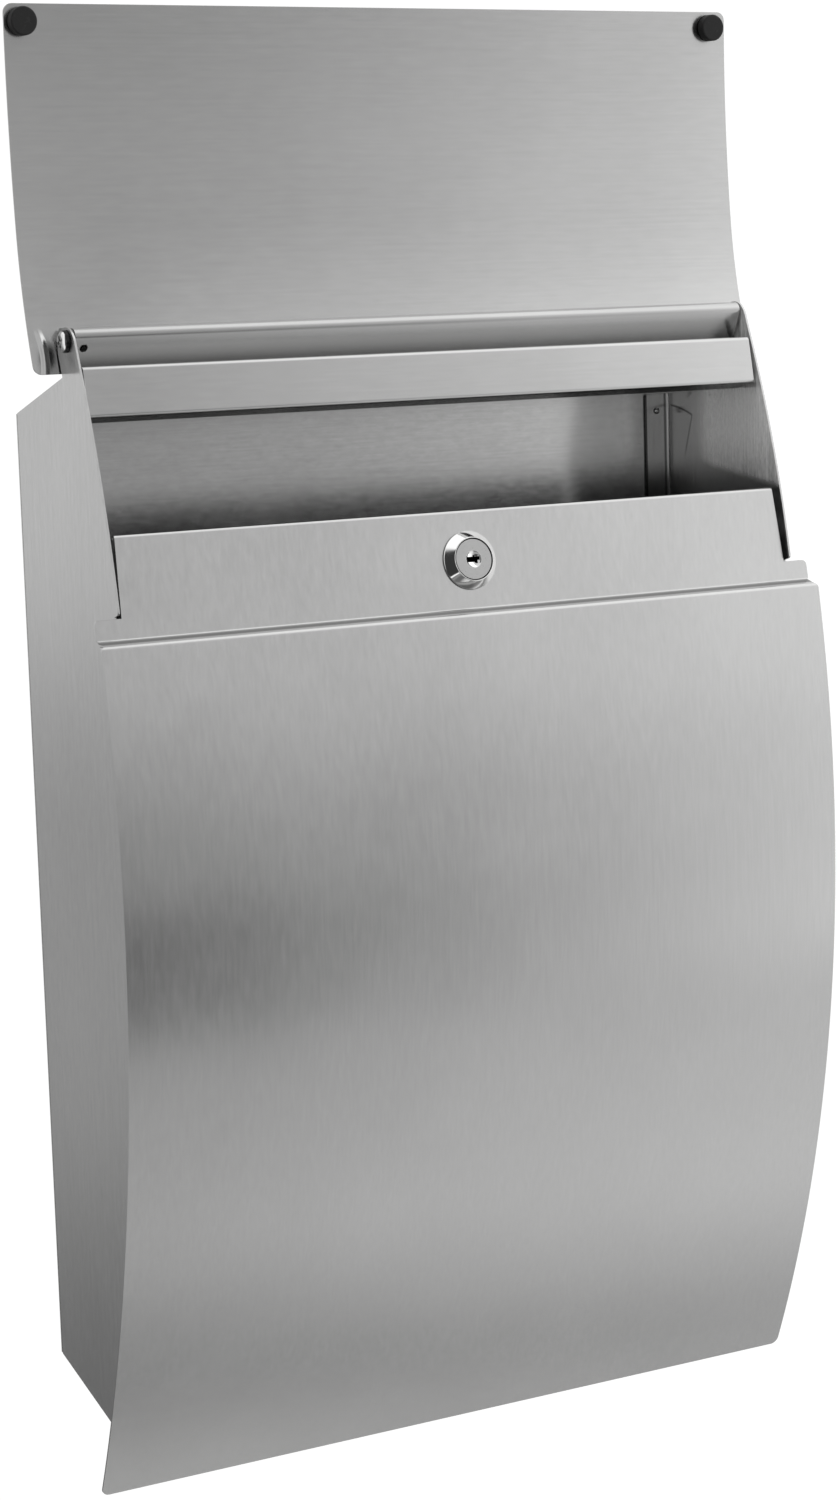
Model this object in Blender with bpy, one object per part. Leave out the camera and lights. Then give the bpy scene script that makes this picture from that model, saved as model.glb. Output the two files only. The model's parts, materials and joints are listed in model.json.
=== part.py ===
"""Wall mounted letterbox in folded stainless sheet, with a lift-up flap and a drop-down locking door.

Metres, +Z up, +X to the viewer's right, +Y towards the wall, so the front faces -Y.
The origin is the middle of the back panel's wall face. Rest pose: flap open, door shut, lock turned open.
"""

from math import asin, atan2, cos, hypot, pi, radians, sin, sqrt

import bmesh
import bpy
from mathutils import Matrix, Vector

# ------------------------------------------------------------------ driving dimensions
SHEET = 0.0008
GAP = 0.0003
BODY_HALF_WIDTH = 0.1457
BACK_HALF_HEIGHT = 0.1830
END_SLOPE = 0.3089

FRONT_CENTRE_Y = 0.4605
FRONT_RADIUS = 0.5625
SIDE_INSET = 0.0070
FOLD_RADIUS = 0.0010

CHEEK_CENTRE = (0.3950, 0.0223)
CHEEK_RADIUS = 0.4909
CHEEK_BOTTOM_Z = 0.1146

FLAP_AXIS = (-0.0514, 0.2103)
TAB_CENTRE = (-0.0512, 0.2074)
TAB_RADIUS = 0.0080
NOTCH = (-0.0463, 0.1973)

DOOR_AXIS = (-0.0525, -0.2095)
DOOR_TAB_RADIUS = 0.0050
DOOR_HALF_WIDTH = 0.1550
DOOR_TOP_Z = 0.1037
DOOR_BOTTOM_Z = -0.2215
DOOR_CORNER = 0.0030
STRIP_TOP = (-0.0790, 0.1422)
STRIP_SLOPE = 0.2089
STRIP_TOP_HALF_WIDTH = 0.1424
STRIP_LOW_HALF_WIDTH = 0.1436
SHOULDER_TOP_Z = 0.1126
SHOULDER_HALF_WIDTH = 0.1543

HEADER_TOP = (-0.0626, 0.2019)
HEADER_LOW = (-0.0665, 0.1832)
HEADER_LEFT, HEADER_RIGHT = -0.1446, 0.1438

FLAP_HALF_WIDTH = 0.1558
FLAP_FREE_Z = 0.3309
FLAP_LOW_Z = 0.1985
FLAP_CORNER = 0.0034
DRAIN_HOLE_X = -0.1405
BUMPER_X = {"left": -0.1494, "right": 0.1479}
BUMPER_Z = FLAP_FREE_Z - 0.0064
BUMPER_RADIUS = 0.0052
BUMPER_HEIGHT = 0.0040

LOCK_X = 0.0006
LOCK_Z = 0.1231
LOCK_RING_RADIUS = 0.0112
LOCK_BARREL_RADIUS = 0.0090
LOCK_BORE_RADIUS = 0.00795
PLUG_RADIUS = 0.00787
CAM_REACH = 0.0280
LOCK_TILT_S = STRIP_SLOPE / hypot(1.0, STRIP_SLOPE)
LOCK_TILT_C = 1.0 / hypot(1.0, STRIP_SLOPE)
LOCK_AXIS = (0.0, -LOCK_TILT_C, LOCK_TILT_S)

SCREW_RADIUS = 0.0015
EAR_BORE_RADIUS = 0.00158
PANEL_BORE_RADIUS = 0.0018
NUT_FLATS = 0.0048

RIVET_X = 0.1391
RIVET_HEIGHTS = {"top": 0.1705, "middle": 0.0, "bottom": -0.1705}

STEEL = (0.62, 0.62, 0.61, 1.0)
CHROME = (0.72, 0.72, 0.73, 1.0)
ZINC = (0.55, 0.55, 0.54, 1.0)
RUBBER = (0.03, 0.03, 0.03, 1.0)


# ------------------------------------------------------------------ 2-D outlines
def front_y(z, inset=0.0):
    """The y of the big front curve at height z."""
    return FRONT_CENTRE_Y - sqrt((FRONT_RADIUS - inset) ** 2 - z * z)


def cheek_y(z):
    """The y of the side panels' upper front edge at height z."""
    return CHEEK_CENTRE[0] - sqrt(CHEEK_RADIUS**2 - (z - CHEEK_CENTRE[1]) ** 2)


def strip_y(z):
    """The y of the lock strip's front face at height z."""
    return STRIP_TOP[0] - (STRIP_TOP[1] - z) * STRIP_SLOPE


def end_z(y, inset=0.0):
    """The height of the sloping roof line above the middle at depth y, lowered by inset."""
    return BACK_HALF_HEIGHT - y * END_SLOPE - inset


def span(start, stop, count):
    return [start + (stop - start) * i / (count - 1) for i in range(count)]


def arc(centre, radius, start, stop, count):
    return [
        (centre[0] + radius * cos(radians(a)), centre[1] + radius * sin(radians(a)))
        for a in span(start, stop, count)
    ]


def fillet(points, steps=5):
    """Rounds the corners of an open path given as (y, z, radius)."""
    path = [tuple(points[0][:2])]
    for before, here, after in zip(points, points[1:], points[2:]):
        corner = Vector(here[:2])
        radius = here[2]
        into = (Vector(before[:2]) - corner).normalized()
        out = (Vector(after[:2]) - corner).normalized()
        half = into.angle(out) / 2
        if radius == 0 or half > 1.55:
            path.append(tuple(corner))
            continue
        middle = corner + (into + out).normalized() * (radius / sin(half))
        first = corner + into * (radius / (sin(half) / cos(half)))
        last = corner + out * (radius / (sin(half) / cos(half)))
        a = atan2(first.y - middle.y, first.x - middle.x)
        b = atan2(last.y - middle.y, last.x - middle.x)
        turn = (b - a + pi) % (2 * pi) - pi
        for i in range(steps + 1):
            angle = a + turn * i / steps
            path.append((middle.x + radius * cos(angle), middle.y + radius * sin(angle)))
    path.append(tuple(points[-1][:2]))
    return path


def offset(path, distance):
    """The same open path moved to its left by distance, mitred."""
    moved = []
    for i, point in enumerate(path):
        here = Vector(point)
        sides = []
        if i > 0:
            sides.append((here - Vector(path[i - 1])).normalized())
        if i < len(path) - 1:
            sides.append((Vector(path[i + 1]) - here).normalized())
        normals = [Vector((-side.y, side.x)) for side in sides]
        total = sum(normals, Vector((0.0, 0.0))).normalized()
        moved.append(tuple(here + total * (distance / total.dot(normals[0]))))
    return moved


def mirrored(outline):
    """Closes a right-hand half outline, listed top to bottom, with its mirror image."""
    return outline + [(-x, z) for x, z in reversed(outline)]


# ------------------------------------------------------------------ solids
def material(name, colour, metallic, roughness):
    made = bpy.data.materials.new(name)
    made.use_nodes = True
    shader = made.node_tree.nodes["Principled BSDF"]
    shader.inputs["Base Color"].default_value = colour
    shader.inputs["Metallic"].default_value = metallic
    shader.inputs["Roughness"].default_value = roughness
    return made


def add(name, bm, colour=STEEL, metallic=1.0, roughness=0.35):
    bmesh.ops.recalc_face_normals(bm, faces=bm.faces)
    mesh = bpy.data.meshes.new(name)
    bm.to_mesh(mesh)
    bm.free()
    made = bpy.data.objects.new(name, mesh)
    bpy.context.scene.collection.objects.link(made)
    mesh.materials.append(material(name, colour, metallic, roughness))
    return made


def join(bm, rings):
    """Skins equal rings of points and caps both ends with one face each."""
    made = [[bm.verts.new(p) for p in ring] for ring in rings]
    count = len(made[0])
    for low, high in zip(made, made[1:]):
        for i in range(count):
            j = (i + 1) % count
            bm.faces.new((low[i], low[j], high[j], high[i]))
    bm.faces.new(list(reversed(made[0])))
    bm.faces.new(made[-1])


def prism_x(bm, outline, low, high):
    join(bm, [[(x, y, z) for y, z in outline] for x in (low, high)])


def prism_y(bm, outline, low, high):
    join(bm, [[(x, y, z) for x, z in outline] for y in (low, high)])


def sheet_x(bm, path, low, high, thickness=SHEET):
    """A bent sheet along X: path is one face in (y, z), the other face is on its left."""
    other = offset(path, thickness)
    rows = []
    for face, back in zip(path, other):
        rows.append(
            [
                bm.verts.new((low, *face)),
                bm.verts.new((high, *face)),
                bm.verts.new((high, *back)),
                bm.verts.new((low, *back)),
            ]
        )
    for one, two in zip(rows, rows[1:]):
        for i in range(4):
            j = (i + 1) % 4
            bm.faces.new((one[i], one[j], two[j], two[i]))
    bm.faces.new(list(reversed(rows[0])))
    bm.faces.new(rows[-1])


def turned(bm, profile, frame, segments=48):
    """A solid of revolution: profile is (radius, height) from axis to axis, frame places it."""
    rings = []
    for radius, height in profile:
        if radius == 0:
            rings.append([bm.verts.new(frame @ Vector((0, 0, height)))])
            continue
        ring = []
        for i in range(segments):
            angle = 2 * pi * i / segments
            point = Vector((radius * cos(angle), radius * sin(angle), height))
            ring.append(bm.verts.new(frame @ point))
        rings.append(ring)
    for one, two in zip(rings, rings[1:]):
        for i in range(segments):
            j = (i + 1) % segments
            corners = [one[i % len(one)], one[j % len(one)], two[j % len(two)], two[i % len(two)]]
            bm.faces.new(list(dict.fromkeys(corners)))


def ring_turned(bm, profile, frame, segments=48):
    """A closed ring of revolution round an open bore: profile is a closed loop."""
    rings = []
    for radius, height in profile:
        ring = []
        for i in range(segments):
            angle = 2 * pi * i / segments
            point = Vector((radius * cos(angle), radius * sin(angle), height))
            ring.append(bm.verts.new(frame @ point))
        rings.append(ring)
    for k, one in enumerate(rings):
        two = rings[(k + 1) % len(rings)]
        for i in range(segments):
            j = (i + 1) % segments
            bm.faces.new((one[i], one[j], two[j], two[i]))


def hex_ring(bm, flats, bore, low, high, frame):
    """A hexagonal nut with a round bore."""
    count = 24
    outer = []
    for i in range(count):
        angle = 2 * pi * i / count
        wedge = (angle % (pi / 3)) - pi / 6
        outer.append((flats / 2 / cos(wedge), angle))
    loops = []
    for radius_of, height in (("out", low), ("out", high), ("in", high), ("in", low)):
        ring = []
        for flat, angle in outer:
            radius = flat if radius_of == "out" else bore
            point = Vector((radius * cos(angle), radius * sin(angle), height))
            ring.append(bm.verts.new(frame @ point))
        loops.append(ring)
    for k, one in enumerate(loops):
        two = loops[(k + 1) % 4]
        for i in range(count):
            j = (i + 1) % count
            bm.faces.new((one[i], one[j], two[j], two[i]))


def axis_frame(origin, direction):
    """A frame at origin whose local Z runs along direction."""
    turn = Vector(direction).normalized().to_track_quat("Z", "X").to_matrix().to_4x4()
    return Matrix.Translation(Vector(origin)) @ turn


def cutter(name, bm):
    made = add(name, bm)
    made.hide_render = True
    made.display_type = "WIRE"
    return made


def boolean(target, tool, operation="DIFFERENCE"):
    made = target.modifiers.new(tool.name, "BOOLEAN")
    made.operation = operation
    made.solver = "EXACT"
    made.object = tool


def rod(name, origin, direction, radius, length, segments=32):
    """A round cutter centred on origin."""
    bm = bmesh.new()
    profile = [(0, -length / 2), (radius, -length / 2), (radius, length / 2), (0, length / 2)]
    turned(bm, profile, axis_frame(origin, direction), segments)
    return cutter(name, bm)


def move_origin(made, point):
    made.data.transform(Matrix.Translation(-Vector(point)))
    made.matrix_world = Matrix.Translation(Vector(point))


# ------------------------------------------------------------------ body
def back_panel():
    bm = bmesh.new()
    prism_y(
        bm,
        mirrored([(BODY_HALF_WIDTH, BACK_HALF_HEIGHT), (BODY_HALF_WIDTH, -BACK_HALF_HEIGHT)]),
        -SHEET,
        0.0,
    )
    made = add("back_panel", bm)
    for i, (x, z) in enumerate(((-0.105, 0.12), (0.105, 0.12), (-0.105, -0.12), (0.105, -0.12))):
        boolean(made, rod(f"cut_wall_hole_{i}", (x, 0, z), (0, 1, 0), 0.003, 0.01))


def side_outline():
    """The side panel seen from the side, as (y, z), from the top rear corner forwards."""
    rear = -SHEET - GAP
    notch = Vector(NOTCH)
    centre = Vector(TAB_CENTRE)
    reach = centre - notch
    swing = asin(TAB_RADIUS / reach.length)
    touch = atan2(reach.y, reach.x) - swing - pi / 2
    outline = [(rear, end_z(rear)), tuple(notch)]
    first = (touch * 180 / pi) % 360
    outline += arc(TAB_CENTRE, TAB_RADIUS, first if first < 180 else first - 360, 160, 15)
    outline += [(cheek_y(z), z) for z in span(0.2045, CHEEK_BOTTOM_Z + 0.0008, 14)]
    outline += [(-0.0869, CHEEK_BOTTOM_Z), (-0.0862, 0.1139), (-0.0835, 0.1130)]
    outline += [(front_y(z, SIDE_INSET), z) for z in span(0.1105, -0.2000, 24)]
    outline += arc(DOOR_AXIS, DOOR_TAB_RADIUS, 180, 360, 15)
    rear_of_tab = DOOR_AXIS[0] + DOOR_TAB_RADIUS
    outline += [(rear_of_tab, -end_z(rear_of_tab)), (rear, -end_z(rear))]
    return outline


def side_panel(name, side):
    outer = BODY_HALF_WIDTH
    inner = BODY_HALF_WIDTH - SHEET
    bm = bmesh.new()
    prism_x(bm, side_outline(), side * outer, side * inner)
    made = add(name, bm)
    flange = bmesh.new()
    top = 0.1775
    corner = 0.0006
    edge = BODY_HALF_WIDTH - 0.0118
    outline = [(inner + 0.0006, top), (inner + 0.0006, -top)]
    outline += [(edge + corner, -top), (edge, -top + corner), (edge, top - corner), (edge + corner, top)]
    prism_y(flange, [(side * x, z) for x, z in outline], -2 * SHEET - GAP, -SHEET - GAP)
    boolean(made, cutter(f"add_flange_{name}", flange), "UNION")
    cove = bmesh.new()
    face = -2 * SHEET - GAP
    bend = arc((inner - FOLD_RADIUS, face - FOLD_RADIUS), FOLD_RADIUS, 0, 90, 7)
    bend += [(inner - FOLD_RADIUS, face + 0.0003), (inner + 0.0003, face + 0.0003)]
    bend += [(inner + 0.0003, face - FOLD_RADIUS)]
    join(cove, [[Vector((side * x, y, z)) for x, y in bend] for z in (-top, top)])
    boolean(made, cutter(f"add_cove_{name}", cove), "UNION")
    for word, axis in (("flap", FLAP_AXIS), ("door", DOOR_AXIS)):
        place = (side * outer, *axis)
        boolean(made, rod(f"cut_{word}_{name}", place, (1, 0, 0), PANEL_BORE_RADIUS, 0.01))
    for level, z in RIVET_HEIGHTS.items():
        place = (side * RIVET_X, 0, z)
        boolean(made, rod(f"cut_rivet_{name}_{level}", place, (0, 1, 0), 0.0010, 0.01, 16))


def flange_rivet(name, side, z):
    """A small domed rivet through the side panel's rear flange."""
    frame = axis_frame((side * RIVET_X, -2 * SHEET - GAP, z), (0, -1, 0))
    profile = [(0, -0.00085), (0.0007, -0.00085), (0.0007, 0.0002), (0.0013, 0.0002)]
    profile += [(0.0013, 0.0004), (0.0011, 0.0006), (0.0006, 0.0008), (0, 0.00085)]
    bm = bmesh.new()
    turned(bm, profile, frame, 20)
    add(name, bm, ZINC)


def floor_panel():
    bm = bmesh.new()
    rear = -SHEET - GAP
    front = -0.0562
    path = [
        (front, -end_z(front, -0.0003) + 0.0090, 0),
        (front, -end_z(front, 0.0003), 0.0015),
        (rear, -end_z(rear, 0.0003), 0.0015),
        (rear, -end_z(rear) + 0.0050, 0),
    ]
    sheet_x(bm, fillet(path), -BODY_HALF_WIDTH + SHEET + GAP, BODY_HALF_WIDTH - SHEET - GAP)
    add("floor_panel", bm)


def roof_panel():
    """Roof and slot header in one folded sheet, with the header's bottom edge turned inwards."""
    bm = bmesh.new()
    rear = -SHEET - GAP
    path = [
        (HEADER_LOW[0] + 0.0117, HEADER_LOW[1] - 0.0025, 0),
        (*HEADER_LOW, 0.0013),
        (*HEADER_TOP, 0.0018),
        (rear, end_z(rear, 0.0007), 0.0015),
        (rear, end_z(rear) - 0.0050, 0),
    ]
    path = [(y, z) for y, z in reversed(fillet(path, 6))]
    sheet_x(bm, path, HEADER_LEFT, HEADER_RIGHT)
    add("roof_panel", bm)


def lock_rail():
    """The cross rail behind the door's shoulder that the cam turns behind."""
    bm = bmesh.new()
    frame = lock_frame()
    path = []
    for down, out in ((0.0128, -0.0167), (0.0300, -0.0167), (0.0300, -0.0075)):
        point = frame @ Vector((0, 0, out))
        down_step = Vector((0, -LOCK_TILT_S, -LOCK_TILT_C)) * down
        path.append((point.y + down_step.y, point.z + down_step.z, 0.0016))
    half = BODY_HALF_WIDTH - SHEET - GAP
    path = [(y, z) for y, z in reversed(fillet(path, 5))]
    sheet_x(bm, path, -half, half)
    add("lock_rail", bm)


# ------------------------------------------------------------------ door
def door_panel():
    """Lock strip, shoulders and curved front in one sheet."""
    lean = Vector((STRIP_SLOPE, 1.0)).normalized()
    back = Vector((lean.y, -lean.x))
    top = Vector(STRIP_TOP)
    points = [(*(top + back * 0.0085), 0), (*top, 0.0016)]
    points += [(strip_y(0.1052), 0.1052, 0.0007)]
    points += [(front_y(DOOR_TOP_Z), DOOR_TOP_Z, 0.0018)]
    heights = span(DOOR_TOP_Z - 0.0045, DOOR_BOTTOM_Z, 44)
    points += [(front_y(z), z, 0) for z in heights]
    bm = bmesh.new()
    wide = DOOR_HALF_WIDTH + 0.005
    sheet_x(bm, fillet(points, 5), -wide, wide)
    made = add("door_panel", bm)

    outline = [
        (STRIP_TOP_HALF_WIDTH, STRIP_TOP[1] + 0.01),
        (STRIP_TOP_HALF_WIDTH, STRIP_TOP[1]),
        (STRIP_LOW_HALF_WIDTH, SHOULDER_TOP_Z),
    ]
    corner = (SHOULDER_HALF_WIDTH - 0.0020, SHOULDER_TOP_Z - 0.0020)
    outline += [(x, z) for x, z in arc(corner, 0.0020, 90, 0, 6)]
    outline += [(SHOULDER_HALF_WIDTH, 0.1056), (SHOULDER_HALF_WIDTH - 0.0008, 0.1049)]
    corner = (DOOR_HALF_WIDTH - 0.0018, DOOR_TOP_Z - 0.0016)
    outline += [(x, z) for x, z in arc(corner, 0.0018, 80, 0, 6)]
    corner = (DOOR_HALF_WIDTH - DOOR_CORNER, DOOR_BOTTOM_Z + DOOR_CORNER)
    outline += [(x, z) for x, z in arc(corner, DOOR_CORNER, 0, -90, 7)]
    shape = bmesh.new()
    prism_y(shape, mirrored(outline), -0.15, 0.05)
    boolean(made, cutter("door_outline", shape), "INTERSECT")
    boolean(made, rod("cut_lock_hole", lock_frame().translation, LOCK_AXIS, 0.0095, 0.008, 48))
    move_origin(made, (0, *DOOR_AXIS))


def door_ear(name, side):
    """The angle bracket that carries the door on its lower hinge screw."""
    outer = BODY_HALF_WIDTH - 2 * SHEET
    inner = outer - SHEET
    y, z = DOOR_AXIS
    heights = span(-0.2030, -0.2165, 6)
    front = [(front_y(h, SHEET + GAP), h) for h in heights]
    outline = front + arc((y, z), 0.0046, -90, 90, 12)
    bm = bmesh.new()
    prism_x(bm, outline, side * inner, side * outer)
    made = add(name, bm)
    leaf = bmesh.new()
    path = [(front_y(h, SHEET + GAP), h) for h in heights]
    sheet_x(leaf, path, side * outer, side * (outer - 0.0140))
    boolean(made, cutter(f"add_leaf_{name}", leaf), "UNION")
    boolean(made, rod(f"cut_bore_{name}", (side * outer, y, z), (1, 0, 0), EAR_BORE_RADIUS, 0.01))
    move_origin(made, (0, *DOOR_AXIS))


# ------------------------------------------------------------------ flap
def flap_y(z):
    """The y of the flap's inner face at height z with the flap open: flat above, tighter below."""
    upper, lower = 0.700, 0.224
    flat_z, change_z = 0.312, 0.250
    if z >= change_z:
        return -0.0313 - (upper - sqrt(upper**2 - (flat_z - z) ** 2))
    slope = asin((flat_z - change_z) / upper)
    start = flap_y(change_z)
    centre_z = change_z + lower * sin(slope)
    centre_y = start - lower * cos(slope)
    return centre_y + sqrt(lower**2 - (z - centre_z) ** 2)


def flap_plate():
    bm = bmesh.new()
    heights = span(FLAP_FREE_Z, 0.250, 12) + span(0.2475, FLAP_LOW_Z, 14)
    path = [(flap_y(z), z) for z in heights]
    wide = FLAP_HALF_WIDTH + 0.005
    sheet_x(bm, path, -wide, wide)
    made = add("flap_plate", bm)
    corner = (FLAP_HALF_WIDTH - FLAP_CORNER, FLAP_FREE_Z - FLAP_CORNER)
    outline = [(x, z) for x, z in arc(corner, FLAP_CORNER, 90, 0, 7)]
    corner = (FLAP_HALF_WIDTH - 0.0030, FLAP_LOW_Z + 0.0030)
    outline += [(x, z) for x, z in arc(corner, 0.0030, 0, -90, 7)]
    shape = bmesh.new()
    prism_y(shape, mirrored(outline), -0.15, 0.05)
    boolean(made, cutter("flap_outline", shape), "INTERSECT")
    move_origin(made, (0, *FLAP_AXIS))


def channel_path():
    """The hinge channel's outside: leaf on the flap, top, rounded front bend, sloping face."""
    leaf_low = (flap_y(0.2055) - GAP / cos(0.27), 0.2055)
    leaf_top = (flap_y(0.2150) - GAP / cos(0.24), 0.2150)
    return [(*leaf_low, 0), (*leaf_top, 0.0014), (-0.0580, 0.2150, 0.0030), (-0.0517, 0.2008, 0)]


def hinge_channel():
    half = BODY_HALF_WIDTH - 2 * SHEET
    bm = bmesh.new()
    sheet_x(bm, fillet(channel_path(), 7), -half, half)
    made = add("flap_hinge_channel", bm)
    rounded = fillet(channel_path(), 7)
    inside = offset(rounded, SHEET * 0.5)
    for side in (-1, 1):
        ear = bmesh.new()
        prism_x(ear, inside, side * (half - SHEET), side * half)
        boolean(made, cutter(f"add_channel_ear_{side}", ear), "UNION")
        place = (side * half, *FLAP_AXIS)
        bore = rod(f"cut_channel_bore_{side}", place, (1, 0, 0), EAR_BORE_RADIUS, 0.01)
        boolean(made, bore)
    face = Vector((-0.0549, 0.2077))
    slope = Vector((0.0063, 0.0142)).normalized()
    normal = (0, -slope.y, -slope.x)
    boolean(made, rod("cut_drain_hole", (DRAIN_HOLE_X, *face), normal, 0.0016, 0.006, 24))
    move_origin(made, (0, *FLAP_AXIS))


def bumper(name, x):
    """A stick-on rubber disc that the shut flap rests on."""
    lean = (flap_y(BUMPER_Z + 0.001) - flap_y(BUMPER_Z - 0.001)) / 0.002
    frame = axis_frame((x, flap_y(BUMPER_Z), BUMPER_Z), (0, -1, lean))
    bm = bmesh.new()
    radius, height = BUMPER_RADIUS, BUMPER_HEIGHT
    profile = [(0, GAP), (radius - 0.0002, GAP), (radius, GAP + 0.0003), (radius, height - 0.0006)]
    profile += [(radius - 0.0002, height - 0.0002), (radius - 0.0007, height), (0, height)]
    turned(bm, profile, frame, 40)
    made = add(name, bm, RUBBER, 0.0, 0.7)
    move_origin(made, (0, *FLAP_AXIS))


# ------------------------------------------------------------------ hinge screws and nuts
def hinge_screw(name, side, axis, head, height):
    """A pan-head screw with a cross recess, its head outside the side panel."""
    frame = axis_frame((side * (BODY_HALF_WIDTH + GAP), *axis), (side, 0, 0))
    bm = bmesh.new()
    radius = SCREW_RADIUS
    profile = [(0, -0.0080), (radius - 0.0002, -0.0080), (radius, -0.0077), (radius, 0), (head, 0)]
    for angle in (10, 25, 40, 55, 70, 82):
        level = height * (0.25 + 0.75 * sin(radians(angle)))
        profile.append((head * (0.45 + 0.55 * cos(radians(angle))), level))
    profile.append((0, height))
    turned(bm, profile, frame, 40)
    made = add(name, bm, ZINC)
    cross = bmesh.new()
    arm, half, low = head * 0.55, head * 0.13, height * 0.35
    top = height + 0.001
    outline = [(arm, -half), (arm, half), (half, half), (half, arm), (-half, arm), (-half, half)]
    outline += [(-arm, half), (-arm, -half), (-half, -half), (-half, -arm), (half, -arm), (half, -half)]
    turn = Matrix.Rotation(radians(20), 4, "Z")
    rings = [[frame @ turn @ Vector((a, b, h)) for a, b in outline] for h in (low, top)]
    join(cross, rings)
    boolean(made, cutter(f"cut_cross_{name}", cross))


def hinge_nut(name, side, axis):
    frame = axis_frame((side * (BODY_HALF_WIDTH - 3 * SHEET - GAP), *axis), (-side, 0, 0))
    bm = bmesh.new()
    hex_ring(bm, NUT_FLATS, PANEL_BORE_RADIUS, 0.0, 0.0024, frame)
    add(name, bm, ZINC)


# ------------------------------------------------------------------ lock
def lock_frame():
    """Local Z out of the strip, local X to the right, local Y up the strip."""
    out = Vector(LOCK_AXIS)
    right = Vector((1, 0, 0))
    up = out.cross(right)
    frame = Matrix((right, up, out)).transposed().to_4x4()
    return Matrix.Translation((LOCK_X, strip_y(LOCK_Z), LOCK_Z)) @ frame


def lock_housing():
    bm = bmesh.new()
    bore, barrel = LOCK_BORE_RADIUS, LOCK_BARREL_RADIUS
    profile = [(bore, -0.0162), (barrel, -0.0162), (barrel, GAP), (LOCK_RING_RADIUS, GAP)]
    profile += [(LOCK_RING_RADIUS, 0.0006), (0.0110, 0.0009), (0.0085, 0.0038), (0.0083, 0.0040)]
    profile += [(0.0081, 0.0040), (bore, 0.0037)]
    ring_turned(bm, profile, lock_frame(), 72)
    add("lock_housing", bm, CHROME, 1.0, 0.08)


def lock_nut():
    bm = bmesh.new()
    hex_ring(bm, 0.0235, 0.0093, -0.0053, -SHEET - GAP, lock_frame())
    add("lock_nut", bm, ZINC)


def lock_plug():
    frame = lock_frame()
    bm = bmesh.new()
    radius = PLUG_RADIUS
    profile = [(0, -0.0182), (radius - 0.0003, -0.0182), (radius, -0.0179), (radius, 0.0034)]
    profile += [(radius - 0.0003, 0.0037), (0, 0.0037)]
    turned(bm, profile, frame, 72)
    made = add("lock_plug", bm, CHROME, 1.0, 0.25)

    tail = bmesh.new()
    square = [(0.0034, 0.0034), (-0.0034, 0.0034), (-0.0034, -0.0034), (0.0034, -0.0034)]
    join(tail, [[frame @ Vector((a, b, h)) for a, b in square] for h in (-0.0202, -0.0170)])
    boolean(made, cutter("add_plug_tail", tail), "UNION")

    recess = bmesh.new()
    dish = [(0, 0.0026), (0.0012, 0.0027), (0.0023, 0.0030), (0.0030, 0.0034), (0.0034, 0.0039), (0, 0.0043)]
    turned(recess, dish, frame, 40)
    boolean(made, cutter("cut_key_recess", recess))

    slot = bmesh.new()
    half, thick, ward = 0.0028, 0.0010, 0.0006
    outline = [(-half, -thick), (0.0006, -thick), (0.0010, -thick - ward), (0.0019, -thick - ward)]
    outline += [(0.0019, -thick + ward), (half, -thick + ward), (half, thick), (0.0008, thick)]
    outline += [(0.0008, thick + ward), (0.0001, thick + ward), (0.0001, thick), (-half, thick)]
    join(slot, [[frame @ Vector((a, b, h)) for a, b in outline] for h in (-0.0060, 0.0048)])
    boolean(made, cutter("cut_keyway", slot))
    boolean(made, rod("cut_tail_bore", frame @ Vector((0, 0, -0.0190)), LOCK_AXIS, 0.0021, 0.010, 24))
    move_origin(made, frame.translation)


def lock_cam():
    """The flat cam on the plug's tail. At rest it points along -X, clear of the rail."""
    frame = lock_frame()
    outline = arc((0, 0), 0.0068, -90, 90, 13) + arc((-CAM_REACH + 0.0060, 0), 0.0060, 90, 270, 13)
    bm = bmesh.new()
    low, high = -0.0201, -0.0186
    join(bm, [[frame @ Vector((a, b, h)) for a, b in outline] for h in (low, high)])
    made = add("lock_cam", bm, ZINC)
    half = 0.0037
    square = [(half, half), (-half, half), (-half, -half), (half, -half)]
    hole = bmesh.new()
    join(hole, [[frame @ Vector((a, b, h)) for a, b in square] for h in (-0.0220, -0.0170)])
    boolean(made, cutter("cut_cam_square", hole))
    move_origin(made, frame.translation)


def cam_screw():
    frame = lock_frame()
    bm = bmesh.new()
    profile = [(0, -0.0235), (0.0036, -0.0235), (0.0046, -0.0229), (0.0050, -0.0221), (0.0050, -0.0205)]
    profile += [(0.0018, -0.0205), (0.0018, -0.0160), (0, -0.0156)]
    turned(bm, profile, frame, 32)
    add("cam_screw", bm, ZINC)


# ------------------------------------------------------------------ build
def build():
    for old in list(bpy.data.objects):
        bpy.data.objects.remove(old, do_unlink=True)
    back_panel()
    floor_panel()
    roof_panel()
    lock_rail()
    door_panel()
    flap_plate()
    hinge_channel()
    for word, side in (("left", -1), ("right", 1)):
        side_panel(f"{word}_side_panel", side)
        for level, z in RIVET_HEIGHTS.items():
            flange_rivet(f"{word}_flange_rivet_{level}", side, z)
        door_ear(f"{word}_door_ear", side)
        bumper(f"{word}_bumper", BUMPER_X[word])
        hinge_screw(f"{word}_flap_screw", side, FLAP_AXIS, 0.0041, 0.0022)
        hinge_nut(f"{word}_flap_nut", side, FLAP_AXIS)
        hinge_screw(f"{word}_door_screw", side, DOOR_AXIS, 0.0034, 0.0019)
        hinge_nut(f"{word}_door_nut", side, DOOR_AXIS)
    lock_housing()
    lock_nut()
    lock_plug()
    lock_cam()
    cam_screw()


build()
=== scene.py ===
"""Looks of the stainless steel wall mailbox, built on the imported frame.

Metres; +X right, +Y to the wall, +Z up. Every shown piece keeps the frame's rest coordinates, so the Object
coordinates that the materials read are places on the mailbox at rest.
"""

import json
from math import cos, pi, radians, sin

import bmesh
import bpy
from mathutils import Matrix, Vector


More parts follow.
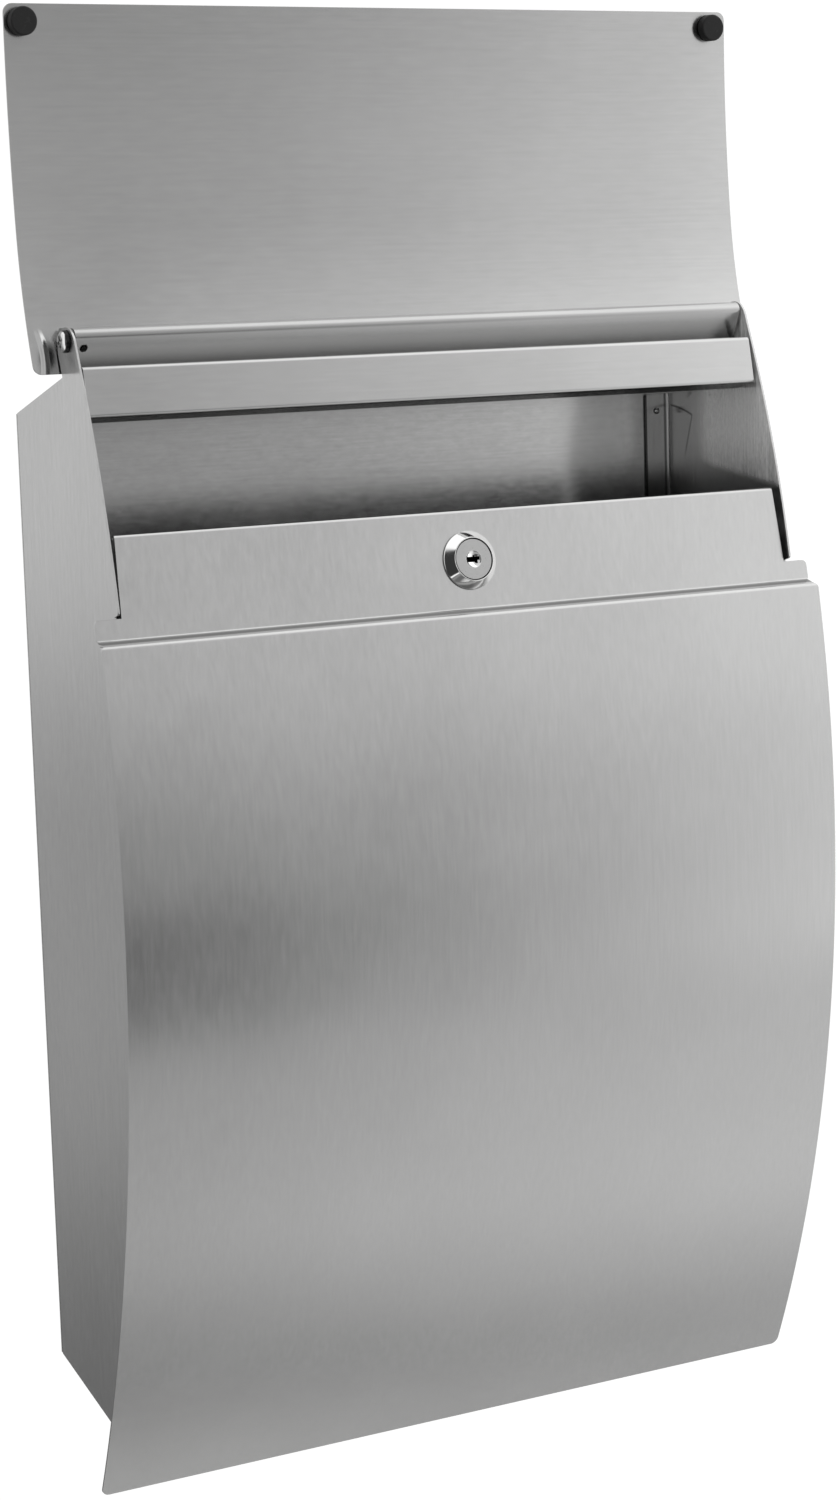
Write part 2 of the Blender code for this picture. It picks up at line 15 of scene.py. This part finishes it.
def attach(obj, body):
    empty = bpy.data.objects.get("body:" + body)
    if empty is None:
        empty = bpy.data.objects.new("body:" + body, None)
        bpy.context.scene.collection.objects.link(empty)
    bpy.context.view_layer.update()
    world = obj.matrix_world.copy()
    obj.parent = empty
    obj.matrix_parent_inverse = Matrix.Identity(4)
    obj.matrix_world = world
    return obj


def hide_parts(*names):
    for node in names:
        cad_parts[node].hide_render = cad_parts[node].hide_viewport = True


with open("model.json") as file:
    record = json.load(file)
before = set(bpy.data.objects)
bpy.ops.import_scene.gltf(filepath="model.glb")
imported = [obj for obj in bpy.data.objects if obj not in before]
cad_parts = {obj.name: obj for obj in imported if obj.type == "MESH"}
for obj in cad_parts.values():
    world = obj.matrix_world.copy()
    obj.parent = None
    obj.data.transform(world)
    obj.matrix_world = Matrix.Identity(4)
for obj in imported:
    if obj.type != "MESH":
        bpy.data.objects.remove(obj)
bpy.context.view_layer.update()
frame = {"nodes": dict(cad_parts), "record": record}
node_body = {n: body for body, nodes in frame["record"]["behaviour"]["bodies"].items() for n in nodes}
scene = bpy.context.scene
scene.view_settings.view_transform = "Standard"


# ------------------------------------------------------------------ node helpers
class Graph:
    """A node tree with short calls for the nodes that the materials use."""

    def __init__(self, tree):
        self.tree = tree
        tree.nodes.clear()

    def node(self, kind, **settings):
        made = self.tree.nodes.new("ShaderNode" + kind)
        for key, value in settings.items():
            setattr(made, key, value)
        return made

    def link(self, source, socket):
        self.tree.links.new(source, socket)

    def feed(self, socket, value):
        """Links a socket, or sets a plain value."""
        if isinstance(value, bpy.types.NodeSocket):
            self.link(value, socket)
        else:
            socket.default_value = value

    def put(self, made, **inputs):
        """Feeds inputs by name, with _ for a space."""
        for key, value in inputs.items():
            self.feed(made.inputs[key.replace("_", " ")], value)
        return made

    def math(self, operation, *values):
        made = self.node("Math", operation=operation)
        for i, value in enumerate(values):
            self.feed(made.inputs[i], value)
        return made.outputs[0]

    def product(self, first, *others):
        for value in others:
            first = self.math("MULTIPLY", first, value)
        return first

    def distance(self, a, b):
        return self.math("ABSOLUTE", self.math("SUBTRACT", a, b))

    def vary(self, noise, amount, base):
        """base, moved up and down by noise whose middle is a half."""
        return self.math("MULTIPLY_ADD", self.math("SUBTRACT", noise, 0.5), amount, base)

    def blend(self, under, over, cover):
        """over laid on under, as far as cover says."""
        kept = self.math("MULTIPLY", under, self.math("SUBTRACT", 1.0, cover))
        return self.math("ADD", kept, self.math("MULTIPLY", cover, over))

    def vector(self, operation, *values):
        made = self.node("VectorMath", operation=operation)
        for i, value in enumerate(values):
            self.feed(made.inputs[i], value)
        return made.outputs["Value" if operation in ("DOT_PRODUCT", "LENGTH") else "Vector"]

    def ramp(self, value, low, high, to_low=0.0, to_high=1.0, smooth=True):
        made = self.node("MapRange", interpolation_type="SMOOTHSTEP" if smooth else "LINEAR")
        self.put(made, Value=value, From_Min=low, From_Max=high, To_Min=to_low, To_Max=to_high)
        return made.outputs["Result"]

    def band(self, value, start, full, fade, end):
        """1 from full to fade, and 0 before start and after end."""
        return self.product(self.ramp(value, start, full), self.ramp(value, fade, end, 1.0, 0.0))

    def place(self):
        return self.node("TexCoord").outputs["Object"]

    def parts(self, vector):
        split = self.put(self.node("SeparateXYZ"), Vector=vector)
        return split.outputs["X"], split.outputs["Y"], split.outputs["Z"]

    def stretched(self, scale, detail=3.0, roughness=0.5, offset=(0.0, 0.0, 0.0)):
        """Noise in the piece's own coordinates, scaled per axis, from 0 to 1."""
        mapping = self.put(self.node("Mapping"), Vector=self.place(), Scale=scale, Location=offset)
        noise = self.node("TexNoise")
        self.put(noise, Vector=mapping.outputs[0], Scale=1.0, Detail=detail, Roughness=roughness)
        return noise.outputs["Fac"]

    def bump(self, height, strength, distance):
        made = self.put(self.node("Bump"), Height=height, Strength=strength, Distance=distance)
        return made.outputs[0]

    def grey(self, level):
        """A grey with the least trace of warmth."""
        made = self.node("CombineColor")
        for i, tint in enumerate((1.0, 1.0, 0.995)):
            self.link(self.math("MULTIPLY", level, tint), made.inputs[i])
        return made.outputs[0]

    def principled(self, **inputs):
        shader = self.put(self.node("BsdfPrincipled"), **inputs)
        self.link(shader.outputs[0], self.node("OutputMaterial").inputs["Surface"])
        return shader


def new_material(name):
    made = bpy.data.materials.new(name)
    made.use_nodes = True
    return made, Graph(made.node_tree)


# ------------------------------------------------------------------ materials
UPRIGHT, LEVEL = (0.0, 0.0, 1.0), (1.0, 0.0, 0.0)
FINE_LINES, COARSE_LINES = (20.0, 1300.0), (110.0, 480.0)  # per metre, along and across the brushing


def brushed_steel(name, grain, level=0.50, roughness=0.20, aniso=0.70, streak=0.10, mottle=0.08, seed=0.0,
                  length=1.0, marks=None):
    """Brushed stainless sheet. grain is the axis that the brushing runs along; marks adds local wear, a
    crease, or painted light and shade.
    """
    made, g = new_material(name)
    shift = (seed, seed * 1.7, seed * 2.3)
    fine, coarse = (
        g.stretched([along / length if a else across for a in grain], detail, 0.6, shift)
        for (along, across), detail in ((FINE_LINES, 2.0), (COARSE_LINES, 3.0))
    )
    cloud = g.stretched((16.0, 16.0, 16.0), 4.0, 0.55, shift)
    lines = g.math("ADD", g.math("MULTIPLY", fine, 0.45), g.math("MULTIPLY", coarse, 0.55))
    tone = g.vary(cloud, mottle * 2.0, g.vary(lines, streak * 2.0, 1.0))
    worn = g.math("ADD", g.math("MULTIPLY", coarse, 0.6), g.math("MULTIPLY", cloud, 0.4))
    rough = g.ramp(worn, 0.3, 0.7, roughness - 0.02, roughness + 0.02, False)
    turn = g.node("VectorTransform", vector_type="VECTOR", convert_from="OBJECT", convert_to="WORLD")
    turn.inputs[0].default_value = grain
    tangent = g.vector("CROSS_PRODUCT", g.node("NewGeometry").outputs["Normal"], turn.outputs[0])
    relief = g.bump(lines, 0.10, 0.00006)
    shader = g.principled(Metallic=1.0, Roughness=rough, Anisotropic=aniso, Tangent=tangent, Normal=relief)
    if marks:
        tone = marks(g, tone, lines, shader)
    g.put(shader, Base_Color=g.grey(g.math("MULTIPLY", tone, level)))
    return made


def door_gap_shade(g, tone, lines, shader):
    """Painted shade along the fold under the lock strip."""
    z = g.parts(g.place())[2]
    gap_shade = g.band(z, 0.1041, 0.1044, 0.1047, 0.1052)
    return g.math("MULTIPLY", tone, g.math("MULTIPLY_ADD", gap_shade, -0.68, 1.0))


def channel_low_shade(g, tone, lines, shader):
    """Painted shade low in the hinge channel: darker towards its bottom."""
    z = g.parts(g.place())[2]
    return g.math("MULTIPLY", tone, g.ramp(z, 0.2015, 0.2130, 0.55, 1.0, False))


def flap_marks(g, tone, lines, shader):
    """A soft crease up from the flap's lower left corner, where the hinge channel was pressed in."""
    foot_x, foot_z, bow, half_width = -0.1506, 0.2055, 18.0, 0.0019
    x, _, z = g.parts(g.place())
    rise = g.distance(z, foot_z)
    lean = g.product(bow, rise, rise)
    off = g.math("ABSOLUTE", g.math("ADD", g.math("SUBTRACT", x, foot_x), lean))
    ridge = g.product(g.ramp(off, 0.0, half_width, 1.0, 0.0), g.ramp(z, 0.2070, 0.2160, 1.0, 0.0))
    brushing = shader.inputs["Normal"].links[0].from_socket
    crease = g.put(g.node("Bump"), Height=ridge, Strength=1.0, Distance=0.0005, Normal=brushing)
    g.link(crease.outputs[0], shader.inputs["Normal"])
    return tone


def side_wear_and_painted_light(g, tone, lines, shader):
    """Inside the opening: a dull patch of wear on both side panels, its colour lightened as painted light
    down to the line of the rail's shadow, a scratch and scuffs on the right one, and painted shade along
    the rear flange edges and folds. out is the distance from the wall, wide that from the middle."""
    x, y, z = g.parts(g.place())
    facing = g.parts(g.node("TexCoord").outputs["Normal"])[0]
    out, wide = g.math("MULTIPLY", y, -1.0), g.math("ABSOLUTE", x)
    inner = g.ramp(g.product(facing, g.math("SIGN", x), -1.0), 0.5, 0.8)
    right = g.product(inner, g.ramp(x, 0.0, 0.01))

    # The patch is partly real, duller and less metallic, and partly painted light: its colour is lightened
    # down to a
    #     # line that falls towards the front, the edge of the rail's shadow.
    foot = g.math("MULTIPLY_ADD", g.math("SUBTRACT", out, 0.0174), -0.142, 0.1503)
    above = g.ramp(g.math("SUBTRACT", z, foot), -0.0006, 0.0034)
    rubbed_and_lit = g.product(inner, above, g.ramp(out, 0.022, 0.038), g.ramp(lines, 0.30, 0.66, 0.55, 1.0))
    g.put(shader, Metallic=g.math("MULTIPLY_ADD", rubbed_and_lit, -0.50, 1.0))
    tone = g.product(tone, g.math("MULTIPLY_ADD", rubbed_and_lit, 1.60, 1.0))

    # The scratch runs forward from the fold and bends down at its front end.
    arc = g.math("MULTIPLY_ADD", g.math("MULTIPLY", out, out), -9.8, 0.1728)
    upper = g.ramp(g.distance(z, arc), 0.0002, 0.0007, 1.0, 0.0)
    upper = g.product(upper, g.band(out, 0.0030, 0.0050, 0.0195, 0.0202))
    drop = g.math("MULTIPLY_ADD", g.math("SUBTRACT", z, 0.1522), 0.339, 0.0140)
    lower = g.ramp(g.distance(out, drop), 0.0002, 0.0008, 0.7, 0.0)
    lower = g.product(lower, g.band(z, 0.1500, 0.1560, 0.1686, 0.1696))
    scuffs = g.ramp(g.stretched((300.0, 160.0, 260.0), 4.0, 0.65, (2.0, 5.0, 1.0)), 0.56, 0.66)
    scuffs = g.product(scuffs, g.ramp(z, 0.1720, 0.1760), g.band(out, 0.010, 0.018, 0.036, 0.046), 0.6)
    scratch = g.product(g.math("MAXIMUM", g.math("MAXIMUM", upper, lower), scuffs), right)

    # Painted shade in the gap along the rear flange edges and in the folds near the wall. The scratch and
    # scuffs are wear.
    edge = g.ramp(wide, 0.1341, 0.1345, 1.0, 0.0)
    fold = g.product(g.band(wide, 0.1424, 0.1430, 0.1436, 0.1440), g.ramp(out, 0.0024, 0.0030, 0.7, 0.0))
    seam_shade = g.math("MULTIPLY", g.math("MAXIMUM", edge, fold), 0.85)
    scratch_and_shade = g.math("MAXIMUM", g.math("MULTIPLY", scratch, 0.65), seam_shade)
    return g.math("MULTIPLY", tone, g.math("SUBTRACT", 1.0, scratch_and_shade))


def chrome():
    """Plated lock ring: mirror polish with hairline wear and a faint haze."""
    made, g = new_material("lock_chrome")
    haze = g.stretched((260.0, 260.0, 260.0), 4.0, 0.6)
    hair = g.stretched((2400.0, 300.0, 900.0), 2.0, 0.5)
    wear = g.math("ADD", g.math("MULTIPLY", haze, 0.5), g.math("MULTIPLY", hair, 0.5))
    rough = g.ramp(wear, 0.35, 0.75, 0.04, 0.12, False)
    tone = g.grey(g.vary(haze, 0.06, 0.74))
    g.principled(Base_Color=tone, Metallic=1.0, Roughness=rough, Normal=g.bump(haze, 0.04, 0.00003))
    return made


def satin(centre, axis):
    """Satin plating of the lock's plug, with a polished dish, and painted shade in the keyway and in the
    gap round the plug.
    height is measured outwards along the lock's axis from centre, and aside is the distance from it."""
    made, g = new_material("lock_satin")
    fine = g.stretched((700.0, 700.0, 5200.0), 3.0, 0.6)
    haze = g.stretched((420.0, 420.0, 420.0), 3.0, 0.6)
    from_centre = g.vector("SUBTRACT", g.place(), centre)
    height = g.vector("DOT_PRODUCT", from_centre, axis)
    aside = g.vector("LENGTH", g.vector("CROSS_PRODUCT", from_centre, axis))
    # Painted shade: the keyway and the gap round the plug are made nearly black.
    keyway = g.band(height, -0.0080, -0.0070, 0.0019, 0.0026)
    keyway = g.product(keyway, g.ramp(aside, 0.0033, 0.0037, 1.0, 0.0))
    gap = g.product(g.ramp(aside, 0.00752, 0.00770), g.ramp(height, 0.0020, 0.0025))
    keyway_and_gap_shade = g.math("MAXIMUM", keyway, gap)
    dish = g.product(g.ramp(aside, 0.0031, 0.0035, 1.0, 0.0), g.ramp(height, 0.0024, 0.0026))
    tone = g.math("MULTIPLY_ADD", dish, 0.35, g.vary(fine, 0.10, 0.43))
    tone = g.grey(g.product(tone, g.math("MULTIPLY_ADD", keyway_and_gap_shade, -0.97, 1.0)))
    rough = g.math("MULTIPLY_ADD", dish, -0.18, g.ramp(haze, 0.3, 0.7, 0.26, 0.34, False))
    g.principled(Base_Color=tone, Metallic=1.0, Roughness=rough, Normal=g.bump(fine, 0.03, 0.00002))
    return made


def fastener(name, level, low, high):
    """Zinc plated hardware with handling marks. low and high are the ends of its roughness."""
    made, g = new_material(name)
    mottle = g.stretched((900.0, 900.0, 900.0), 4.0, 0.6)
    spots = g.stretched((2600.0, 2600.0, 2600.0), 2.0, 0.5)
    pitting = g.math("ADD", mottle, g.math("MULTIPLY", spots, 0.4))
    rough = g.ramp(mottle, 0.3, 0.7, low, high, False)
    tone = g.grey(g.vary(mottle, 0.16, level))
    g.principled(Base_Color=tone, Metallic=1.0, Roughness=rough, Normal=g.bump(pitting, 0.10, 0.00005))
    return made


def screw_polish(node):
    """Polished screw: bright dome, with painted shade round the rim of its head."""
    corners = [Vector(c) for c in frame["nodes"][node].bound_box]
    middle = sum(corners, Vector()) / 8
    head_radius = max(c.z for c in corners) - middle.z
    made, g = new_material(node + "_polish")
    radial = g.vector("MULTIPLY", g.vector("SUBTRACT", g.place(), tuple(middle)), (0.0, 1.0, 1.0))
    mottle = g.stretched((900.0, 900.0, 900.0), 4.0, 0.6)
    wavy = g.vary(mottle, 0.0003, g.vector("LENGTH", radial))
    # Painted shade round the rim of the head: clean is the part it leaves, and the colour falls nearly to
    # black at the rim.
    clean = g.ramp(wavy, head_radius * 0.88, head_radius * 0.95, 1.0, 0.04)
    rough = g.ramp(mottle, 0.3, 0.7, 0.08, 0.18, False)
    tone = g.grey(g.product(clean, g.vary(mottle, 0.16, 0.78)))
    g.principled(Base_Color=tone, Metallic=1.0, Roughness=rough, Normal=g.bump(mottle, 0.10, 0.00005))
    return made


def rubber():
    """Matte black moulded rubber with dust in its grain."""
    made, g = new_material("black_rubber")
    grain = g.stretched((2200.0, 2200.0, 2200.0), 4.0, 0.65)
    dust = g.ramp(g.stretched((520.0, 520.0, 520.0), 5.0, 0.7), 0.55, 0.75, 0.0, 0.018)
    tone = g.grey(g.math("ADD", g.math("MULTIPLY_ADD", grain, 0.008, 0.006), dust))
    rough = g.ramp(grain, 0.3, 0.7, 0.55, 0.75, False)
    relief = g.bump(grain, 0.25, 0.00008)
    g.principled(Base_Color=tone, Roughness=rough, Specular_IOR_Level=0.35, Normal=relief)
    return made


door_steel = brushed_steel("door_steel", UPRIGHT, streak=0.085, mottle=0.07, marks=door_gap_shade)
flap_steel = brushed_steel(
    "flap_steel", LEVEL, aniso=0.75, streak=0.08, mottle=0.07, seed=3.1, marks=flap_marks
)
trim_steel = brushed_steel("trim_steel", LEVEL, streak=0.06, seed=5.7)
# The hinge channel's steel is made darker than the rest, as painted shade.
channel_steel = brushed_steel(
    "channel_steel", LEVEL, level=0.45, streak=0.06, seed=4.4, marks=channel_low_shade
)
inner_steel = brushed_steel(
    "inner_steel", LEVEL, level=0.60, roughness=0.18, aniso=0.80, streak=0.24, seed=8.2, length=0.5
)
side_steel = brushed_steel(
    "side_steel", UPRIGHT, roughness=0.22, streak=0.16, seed=11.9, length=0.6, marks=side_wear_and_painted_light
)
chrome_plate = chrome()
satin_plate = satin(centre=(0.0006, -0.08299, 0.1231), axis=(0.0, -0.97887, 0.20449))
rivet_steel = fastener("rivet_steel", 0.52, 0.20, 0.32)
zinc = fastener("zinc_plate", 0.48, 0.28, 0.42)
black = rubber()


# ------------------------------------------------------------------ pieces
SHARP = radians(28.0)  # folds and rims turn by more than this, curves by less from facet to facet
SHEET_EDGE, SIDE_EDGE, NUT_EDGE, LOCK_EDGE, SCREW_EDGE = 0.00014, 0.00007, 0.0001, 0.00005, 0.00004


def refined(node, material, edge_width=0.0):
    """The CAD node's own shape as a clean mesh: flat faces merged, edges rounded, curves shaded smooth."""
    bm = bmesh.new()
    bm.from_mesh(frame["nodes"][node].data)
    bmesh.ops.remove_doubles(bm, verts=bm.verts, dist=2e-6)
    bmesh.ops.dissolve_limit(bm, angle_limit=radians(0.3), verts=bm.verts, edges=bm.edges, delimit=set())
    for face in bm.faces:
        face.smooth = True
    for edge in bm.edges:
        edge.smooth = len(edge.link_faces) == 2 and edge.calc_face_angle(0.0) < SHARP
    mesh = bpy.data.meshes.new(node + "_shown")
    bm.to_mesh(mesh)
    bm.free()
    mesh.materials.append(material)
    made = bpy.data.objects.new(node + "_shown", mesh)
    scene.collection.objects.link(made)
    if edge_width:
        rounding = made.modifiers.new("edges", "BEVEL")
        rounding.limit_method = "ANGLE"
        rounding.angle_limit = SHARP
        rounding.width = edge_width
        rounding.segments = 2
        rounding.use_clamp_overlap = True
    shading = made.modifiers.new("shading", "WEIGHTED_NORMAL")
    shading.keep_sharp = False
    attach(made, node_body[node])
    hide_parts(node)


SHEETS = {
    "back_panel": inner_steel,
    "left_side_panel": side_steel,
    "right_side_panel": side_steel,
    "floor_panel": side_steel,
    "roof_panel": trim_steel,
    "lock_rail": trim_steel,
    "door_panel": door_steel,
    "left_door_ear": trim_steel,
    "right_door_ear": trim_steel,
    "flap_plate": flap_steel,
    "flap_hinge_channel": channel_steel,
}
for name, steel in SHEETS.items():
    refined(name, steel, SIDE_EDGE if steel is side_steel else SHEET_EDGE)
refined("lock_housing", chrome_plate, LOCK_EDGE)
refined("lock_plug", satin_plate, LOCK_EDGE)
for side in ("left", "right"):
    for hinge in ("flap", "door"):
        screw = f"{side}_{hinge}_screw"
        refined(screw, screw_polish(screw), SCREW_EDGE)
    refined(f"{side}_flap_nut", zinc, NUT_EDGE)
    refined(f"{side}_door_nut", zinc, NUT_EDGE)
    refined(f"{side}_bumper", black)
    for level in ("top", "middle", "bottom"):
        refined(f"{side}_flange_rivet_{level}", rivet_steel)
for name in ("lock_nut", "lock_cam", "cam_screw"):
    refined(name, zinc, NUT_EDGE)


# ------------------------------------------------------------------ floor
def floor_disc(z=-0.75, radius=0.7, rings=14, sides=96):
    """A pale floor that fades out before its rim."""
    bm = bmesh.new()
    turns = [2 * pi * k / sides for k in range(sides)]
    loops = []
    for i in range(1, rings + 1):
        r = radius * i / rings
        loops.append([bm.verts.new((r * cos(turn), r * sin(turn), z)) for turn in turns])
    centre = bm.verts.new((0, 0, z))
    for k in range(sides):
        bm.faces.new((centre, loops[0][k], loops[0][(k + 1) % sides]))
        for a, b in zip(loops, loops[1:]):
            bm.faces.new((a[k], b[k], b[(k + 1) % sides], a[(k + 1) % sides]))
    mesh = bpy.data.meshes.new("floor")
    bm.to_mesh(mesh)
    bm.free()
    made = bpy.data.objects.new("floor", mesh)
    scene.collection.objects.link(made)
    paint, g = new_material("floor_paper")
    reach = g.vector("LENGTH", g.vector("MULTIPLY", g.place(), (1.0, 1.0, 0.0)))
    fade = g.ramp(reach, radius * 0.25, radius * 0.95, 1.0, 0.0)
    tone = g.grey(g.math("MULTIPLY_ADD", g.stretched((60.0, 60.0, 60.0)), 0.03, 0.62))
    g.principled(Base_Color=tone, Roughness=0.9, Specular_IOR_Level=0.2, Alpha=fade)
    mesh.materials.append(paint)


floor_disc()


# ------------------------------------------------------------------ light
# Azimuth is from the front (-Y) towards the right (+X), elevation above the horizon, both in degrees.
PANELS = [
    # name, middle's azimuth, half width, soft edge, middle's elevation, half height, soft edge, glow
    ("ceiling", 0, 180, 1, 90, 44, 30, 1.75),
    ("right_bank", 68, 37, 24, 15, 45, 30, 2.10),
    ("right_low", 85, 60, 20, -60, 41, 10, 1.26),
    ("floor_far", 20, 90, 40, -75, 31, 14, 0.8),
    ("front_card", -15, 46, 26, 0, 70, 20, 0.55),
    ("front_high", -15, 46, 26, 45, 41, 20, 1.02),
    ("front_mid", -15, 46, 26, -9, 11, 14, 0.42),
    ("front_low", -15, 41, 6, -15, 5.5, 5, 0.04),
    ("front_floor", -15, 46, 26, -75, 31, 14, 0.22),
    ("stand", 24.5, 2.5, 4, 30, 32, 20, 0.66),
    ("left_fill", -33, 14, 10, 10, 26, 14, 0.68),
    ("left_flag", -66, 14, 6, 4, 46, 8, 0.06),
    ("left_strip", -66, 14, 6, -37, 2.2, 2, 1.5),
    ("floor_near", 0, 180, 1, -90, 27, 12, 1.1),
    ("foot_shade", 34, 14, 18, -64, 13, 10, 0.22),
    ("wall", -152, 32, 20, -20, 50, 20, 1.08),
    ("wall_low", -152, 32, 20, -48, 41, 5, 0.60),
    ("wall_foot", -152, 32, 20, -54, 37, 5, 0.27),
]
ROOM, PAPER = 1.30, 1.30  # glow of the room beyond the panels, and of the backdrop that the camera sees


def studio():
    """Soft panels and flags around the object, each laid over the ones before it."""
    world = bpy.data.worlds.new("studio")
    world.use_nodes = True
    scene.world = world
    g = Graph(world.node_tree)
    x, y, z = g.parts(g.node("TexCoord").outputs["Generated"])
    bearing = g.math("DEGREES", g.math("ARCTAN2", x, g.math("MULTIPLY", y, -1.0)))
    elevation = g.math("DEGREES", g.math("ARCSINE", z))
    glow = ROOM
    for _, middle, half_width, side_edge, height, half_height, rim, bright in PANELS:
        aside = g.math("ABSOLUTE", g.math("WRAP", g.math("SUBTRACT", bearing, middle), 180.0, -180.0))
        apart = g.distance(elevation, height)
        wide = g.ramp(aside, half_width - side_edge / 2, half_width + side_edge / 2, 1.0, 0.0)
        tall = g.ramp(apart, half_height - rim / 2, half_height + rim / 2, 1.0, 0.0)
        glow = g.blend(glow, bright, g.product(wide, tall))
    glow = g.blend(glow, PAPER, g.node("LightPath").outputs["Is Camera Ray"])
    backdrop = g.put(g.node("Background"), Strength=glow)
    g.link(backdrop.outputs[0], g.node("OutputWorld").inputs["Surface"])


studio()


# ------------------------------------------------------------------ camera
CAMERA_PLACE = (-0.59837, -1.12797, 0.2342)
CAMERA_TURN, CAMERA_DIP, CAMERA_ROLL = radians(28.81), radians(8.63), -0.03041
LENS_MM, SENSOR_MM = 76.885, 36.0


def photo_camera():
    """Low and to the left, slightly rolled, as the photograph was taken."""
    data = bpy.data.cameras.new("camera")
    data.sensor_width = SENSOR_MM
    data.lens = LENS_MM
    data.clip_start, data.clip_end = 0.05, 30.0
    data.dof.use_dof = False
    made = bpy.data.objects.new("camera", data)
    scene.collection.objects.link(made)
    flat = cos(CAMERA_DIP)
    ahead = Vector((sin(CAMERA_TURN) * flat, cos(CAMERA_TURN) * flat, -sin(CAMERA_DIP)))
    level = Vector((cos(CAMERA_TURN), -sin(CAMERA_TURN), 0.0))
    above = level.cross(ahead)
    right = cos(CAMERA_ROLL) * level + sin(CAMERA_ROLL) * above
    up = -sin(CAMERA_ROLL) * level + cos(CAMERA_ROLL) * above
    made.matrix_world = Matrix.Translation(CAMERA_PLACE) @ Matrix((right, up, -ahead)).transposed().to_4x4()
    scene.camera = made


photo_camera()
